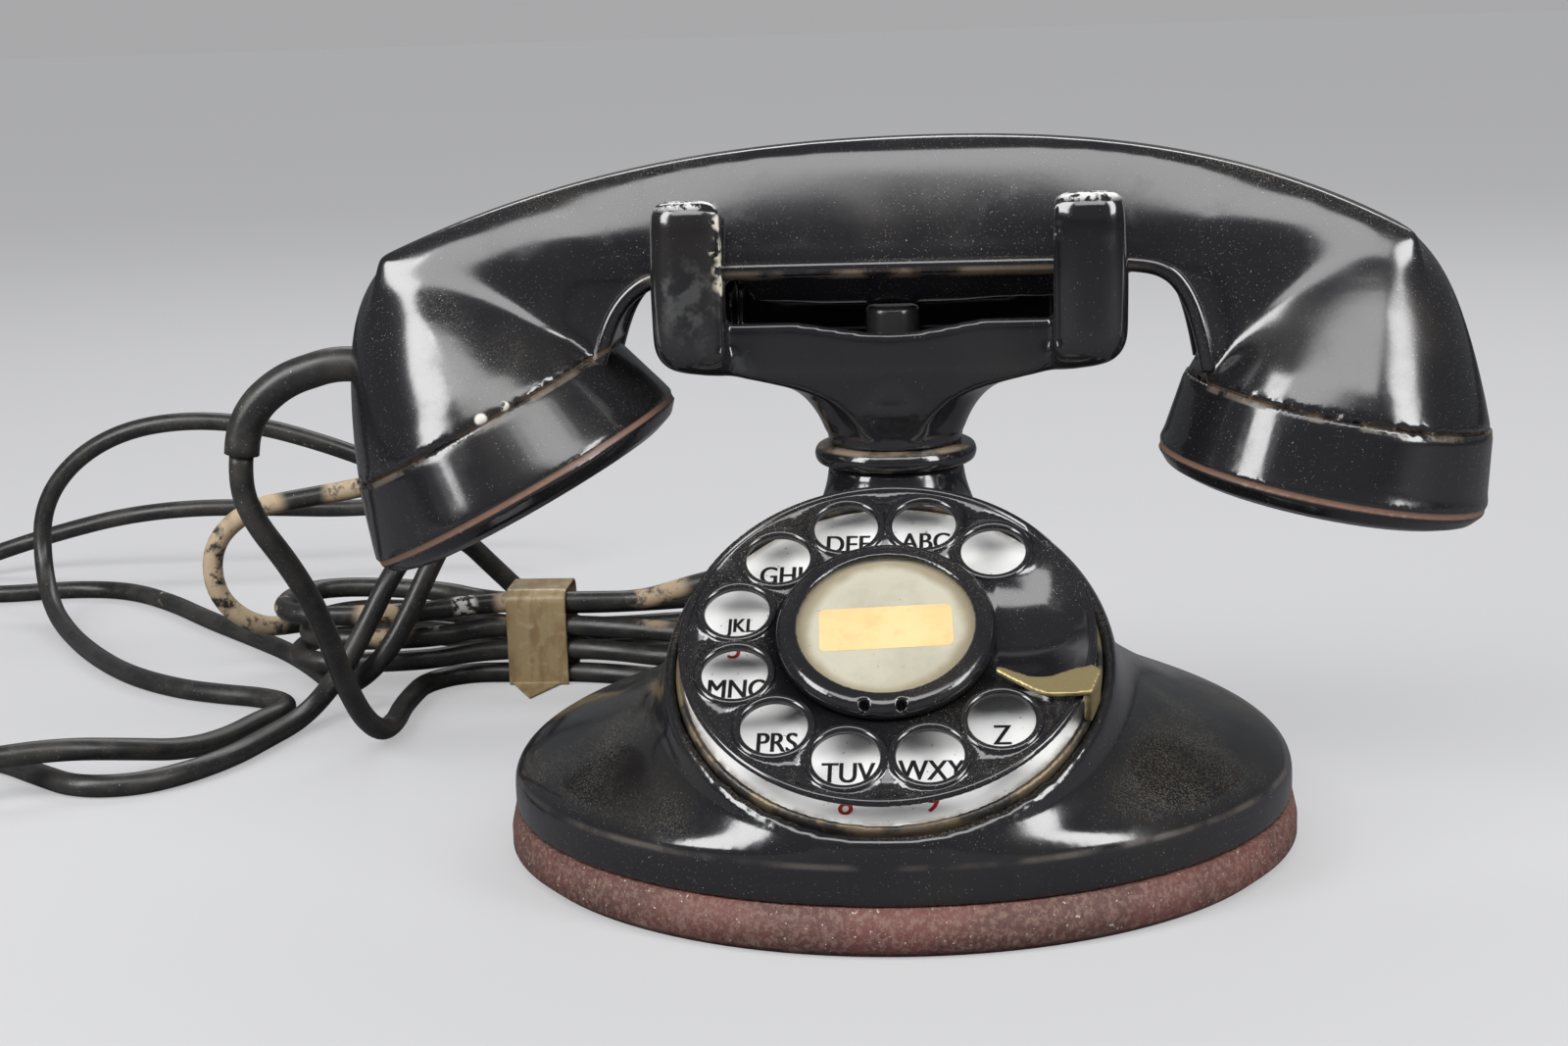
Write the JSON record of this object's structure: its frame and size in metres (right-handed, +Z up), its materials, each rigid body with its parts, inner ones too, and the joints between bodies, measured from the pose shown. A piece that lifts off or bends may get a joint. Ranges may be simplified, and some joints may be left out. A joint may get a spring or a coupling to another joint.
{
  "type": "desk telephone",
  "caption": "Cradle desk telephone: oval foot with a sloping rotary dial, a forked cradle on a neck and a lift-off one-piece handset on a cord.",
  "frame": {"origin": "on the table under the middle of the oval foot", "axes": "+X to the right of the person who dials, +Y away from them, +Z up"},
  "size_m": [0.4147, 0.332, 0.1385],
  "materials": {
    "black_casting": "gloss black lacquer, dusty",
    "black_wheel": "semi-gloss black lacquer, dusty",
    "moulded_black": "satin moulded black, worn edges",
    "leather_band": "scuffed maroon-brown",
    "steel": "dull steel",
    "worn_metal": "worn pale metal",
    "enamel": "white enamel",
    "card": "stained card",
    "clear_window": "clear",
    "brass_parts": "dull brass",
    "plunger_black": "black",
    "bakelite_inner": "brown-black moulding",
    "capsule_metal": "dull",
    "rubber_black": "worn black rubber",
    "yellow_tape": "yellowed translucent tape"
  },
  "bodies": {
    "base": {"base_shell": "black_casting", "bottom_cover": "leather_band", "bottom_plate": "steel", "bottom_screws": "steel", "cord_hank": "rubber_black", "cord_terminals": "brass_parts", "cradle": "black_casting", "dial_bezel": "worn_metal", "dial_case": "black_casting", "finger_stop": "worn_metal", "gear_bridge": "steel", "governor_bearing": "brass_parts", "governor_cup": "brass_parts", "handset_cord": "rubber_black", "handset_cord_bush": "rubber_black", "hank_tape": "yellow_tape", "lever_pivot": "steel", "line_cord": "rubber_black", "line_cord_bush": "rubber_black", "mainspring": "steel", "neck_collar": "black_casting", "number_plate": "enamel", "plunger_bush": "brass_parts", "pulse_springs": "brass_parts", "switch_bracket": "steel", "switch_insulators": "bakelite_inner", "switch_springs": "brass_parts", "terminal_screws": "steel", "terminal_strip": "bakelite_inner"},
    "handset": {"handset_handle": "moulded_black", "mouthpiece_cap": "moulded_black", "earpiece_cap": "moulded_black", "transmitter_capsule": "bakelite_inner", "receiver_capsule": "capsule_metal", "transmitter_contacts": "brass_parts", "cord_sleeve": "rubber_black"},
    "plunger": {"hook_plunger": "plunger_black"},
    "switch_lever": {"hook_lever": "brass_parts"},
    "dial_wheel": {"finger_wheel": "black_wheel", "card_ring": "black_wheel", "number_card": "card", "card_window": "clear_window", "dial_shaft": "steel", "drive_gear": "brass_parts"},
    "pulse_wheel": {"pulse_gear": "brass_parts"},
    "governor": {"governor_worm": "steel", "governor_weights": "brass_parts"}
  },
  "joints": [
    {"name": "handset_lift", "type": "slide", "parent": "base", "child": "handset", "axis": [0, 0, 1], "range_m": [0, 0.06]},
    {"name": "hook_plunger_rise", "type": "slide", "parent": "base", "child": "plunger", "axis": [0, 0, 1], "range_m": [0, 0.005]},
    {"name": "hook_lever_turn", "type": "hinge", "parent": "base", "child": "switch_lever", "pos_m": [0, 0.0258, 0.036], "axis": [1, 0, 0], "range_deg": [-19.5, 0]},
    {"name": "dial_turn", "type": "hinge", "parent": "base", "child": "dial_wheel", "pos_m": [0, -0.0415, 0.0506], "axis": [0, -0.5721, 0.8202], "range_deg": [-330, 0], "stiffness_Nm_per_rad": 0.004},
    {"name": "pulse_wheel_turn", "type": "hinge", "parent": "base", "child": "pulse_wheel", "pos_m": [-0.01555, -0.04614, 0.04736], "axis": [0, -0.5721, 0.8202], "range_deg": [0, 1101]},
    {"name": "governor_spin", "type": "hinge", "parent": "base", "child": "governor", "pos_m": [-0.01734, -0.0436, 0.02597], "axis": [-0.9848, 0.1424, 0.0994], "range_deg": [0, 6601]}
  ],
  "couplings": [
    {"joint": "hook_plunger_rise", "follows": "handset_lift", "ratio": 0.083333},
    {"joint": "hook_lever_turn", "follows": "handset_lift", "rad_per_m": -5.5816},
    {"joint": "pulse_wheel_turn", "follows": "dial_turn", "ratio": -3.3333},
    {"joint": "governor_spin", "follows": "dial_turn", "ratio": -20}
  ]
}
